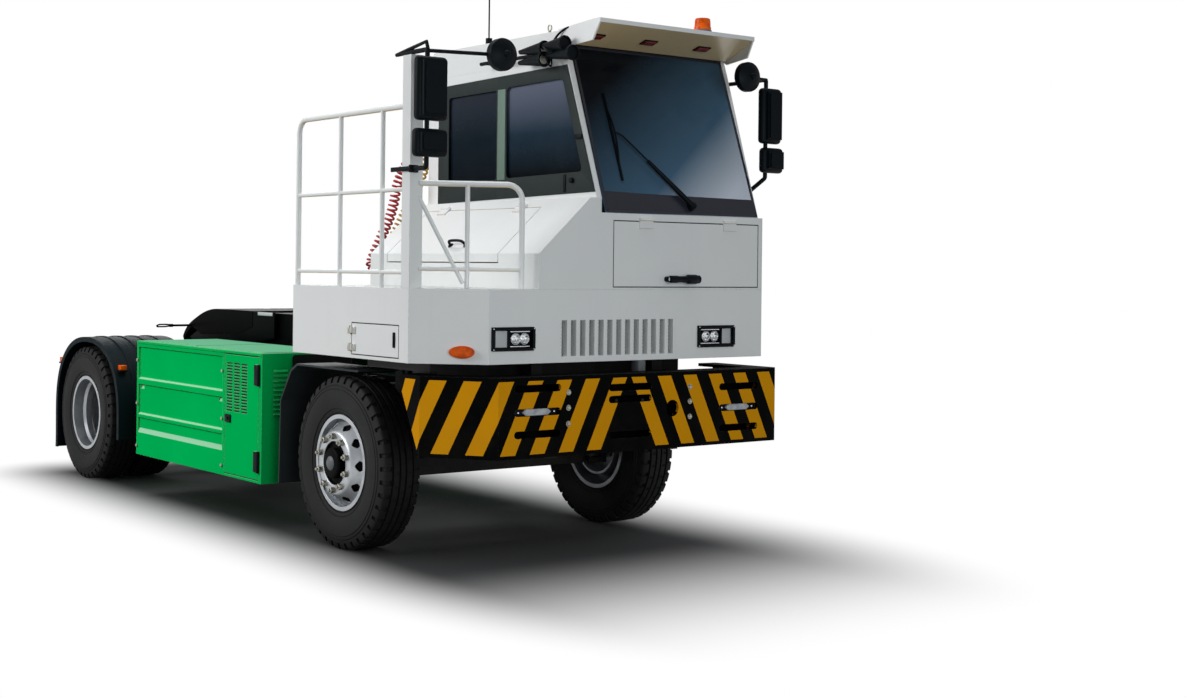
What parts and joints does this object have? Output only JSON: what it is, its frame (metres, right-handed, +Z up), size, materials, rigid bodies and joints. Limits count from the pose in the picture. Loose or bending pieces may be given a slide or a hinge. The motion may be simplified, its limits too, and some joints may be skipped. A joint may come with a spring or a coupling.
{
  "type": "electric terminal tractor",
  "caption": "Electric terminal tractor with an offset cab, railed side deck, battery boxes and a lifting coupling plate.",
  "frame": {"origin": "on the ground under the middle of the vehicle", "axes": "+X forward, +Y to the vehicle's left, +Z up"},
  "size_m": [6.12, 2.814, 3.56],
  "materials": {
    "white_paint": "gloss",
    "deck_grey": "satin",
    "green_paint": "satin",
    "bumper_black": "satin, with amber stripes on the bumper",
    "chassis_black": "matt",
    "rod_chrome": "polished",
    "wheel_silver": "silver gloss",
    "tyre_rubber": "matt",
    "guard_plastic": "matt",
    "black_plastic": "satin",
    "tinted_glass": "tinted",
    "lamp_clear": "clear",
    "lamp_amber": "translucent lens",
    "seat_fabric": "woven",
    "hose_red": "coiled air hose",
    "hose_yellow": "coiled air hose"
  },
  "bodies": {
    "chassis": {"amber_lamps": "lamp_amber", "antenna": "black_plastic", "battery_box_left": "green_paint", "battery_box_right": "green_paint", "bumper": "bumper_black", "cab_floor": "chassis_black", "cab_front_panel": "white_paint", "cab_left_wall": "white_paint", "cab_rear_wall": "white_paint", "cab_right_wall": "white_paint", "cab_roof": "white_paint", "cab_steps": "deck_grey", "chassis_frame": "chassis_black", "dash": "black_plastic", "deck_plate": "deck_grey", "deck_rails": "white_paint", "driver_seat": "seat_fabric", "front_axle_beam": "chassis_black", "front_lamps": "lamp_clear", "front_mudguards": "guard_plastic", "front_panel": "white_paint", "front_springs": "chassis_black", "horns": "black_plastic", "mirrors_left": "black_plastic", "mirrors_right": "black_plastic", "rear_axle": "chassis_black", "rear_mudguards": "guard_plastic", "red_hose": "hose_red", "side_glass": "tinted_glass", "side_hood": "white_paint", "side_panel": "white_paint", "steering_wheel": "black_plastic", "traction_motor": "chassis_black", "visor": "white_paint", "windscreen": "tinted_glass", "yellow_hose": "hose_yellow"},
    "knuckle_left": {"knuckle_left": "chassis_black"},
    "knuckle_right": {"knuckle_right": "chassis_black"},
    "front_wheel_left": {"front_rim_left": "wheel_silver", "front_tyre_left": "tyre_rubber"},
    "front_wheel_right": {"front_rim_right": "wheel_silver", "front_tyre_right": "tyre_rubber"},
    "rear_wheels_left": {"rear_rims_left": "wheel_silver", "rear_tyres_left": "tyre_rubber"},
    "rear_wheels_right": {"rear_rims_right": "wheel_silver", "rear_tyres_right": "tyre_rubber"},
    "boom": {"lift_boom": "bumper_black"},
    "coupling": {"fifth_wheel": "bumper_black"},
    "lift_barrels": {"lift_barrels": "chassis_black"},
    "lift_rods": {"lift_rods": "rod_chrome"},
    "door": {"cab_door": "white_paint", "door_glass": "tinted_glass"},
    "front_hatch": {"front_hatch": "white_paint"},
    "hood_lid": {"hood_lid": "white_paint"},
    "side_hatch": {"side_hatch": "white_paint"},
    "battery_door": {"battery_door": "green_paint"}
  },
  "joints": [
    {"name": "steer_right", "type": "hinge", "parent": "chassis", "child": "knuckle_right", "pos_m": [1.655, -0.86, 0.542], "axis": [0, 0, 1], "range_deg": [-35, 35]},
    {"name": "front_spin_right", "type": "hinge", "parent": "knuckle_right", "child": "front_wheel_right", "pos_m": [1.655, -1.02, 0.542], "axis": [0, 1, 0], "continuous": true},
    {"name": "rear_spin_right", "type": "hinge", "parent": "chassis", "child": "rear_wheels_right", "pos_m": [-2.345, -0.92, 0.542], "axis": [0, 1, 0], "continuous": true},
    {"name": "steer_left", "type": "hinge", "parent": "chassis", "child": "knuckle_left", "pos_m": [1.655, 0.86, 0.542], "axis": [0, 0, 1], "range_deg": [-35, 35]},
    {"name": "front_spin_left", "type": "hinge", "parent": "knuckle_left", "child": "front_wheel_left", "pos_m": [1.655, 1.02, 0.542], "axis": [0, 1, 0], "continuous": true},
    {"name": "rear_spin_left", "type": "hinge", "parent": "chassis", "child": "rear_wheels_left", "pos_m": [-2.345, 0.92, 0.542], "axis": [0, 1, 0], "continuous": true},
    {"name": "boom_lift", "type": "hinge", "parent": "chassis", "child": "boom", "pos_m": [0.055, 0, 1], "axis": [0, 1, 0], "range_deg": [0, 16]},
    {"name": "coupling_tilt", "type": "hinge", "parent": "boom", "child": "coupling", "pos_m": [-1.4, 0, 1.205], "axis": [0, 1, 0], "range_deg": [-8, 8]},
    {"name": "barrel_tilt", "type": "hinge", "parent": "chassis", "child": "lift_barrels", "pos_m": [-0.15, 0, 0.76], "axis": [0, 1, 0], "range_deg": [0, 18]},
    {"name": "rod_slide", "type": "slide", "parent": "lift_barrels", "child": "lift_rods", "axis": [-0.8944, 0, 0.4472], "range_m": [0, 0.095]},
    {"name": "door_open", "type": "hinge", "parent": "chassis", "child": "door", "pos_m": [2.005, 1.2593, 2.1], "axis": [0, 0, -1], "range_deg": [0, 80]},
    {"name": "front_hatch_open", "type": "hinge", "parent": "chassis", "child": "front_hatch", "pos_m": [2.9233, 0.6, 2.071], "axis": [0, -1, 0], "range_deg": [0, 80]},
    {"name": "hood_lid_open", "type": "hinge", "parent": "chassis", "child": "hood_lid", "pos_m": [1.9, -0.23457, 2.15665], "axis": [-1, 0, 0], "range_deg": [0, 75]},
    {"name": "side_hatch_open", "type": "hinge", "parent": "chassis", "child": "side_hatch", "pos_m": [1.947, -1.2593, 1.33], "axis": [0, 0, -1], "range_deg": [0, 110]},
    {"name": "battery_door_open", "type": "hinge", "parent": "chassis", "child": "battery_door", "pos_m": [0.715, -1.2293, 0.74], "axis": [0, 0, 1], "range_deg": [0, 110]}
  ],
  "couplings": [
    {"joint": "steer_left", "follows": "steer_right", "ratio": 1},
    {"joint": "barrel_tilt", "follows": "boom_lift", "ratio": 1.03},
    {"joint": "rod_slide", "follows": "boom_lift", "m_per_rad": 0.3137}
  ]
}
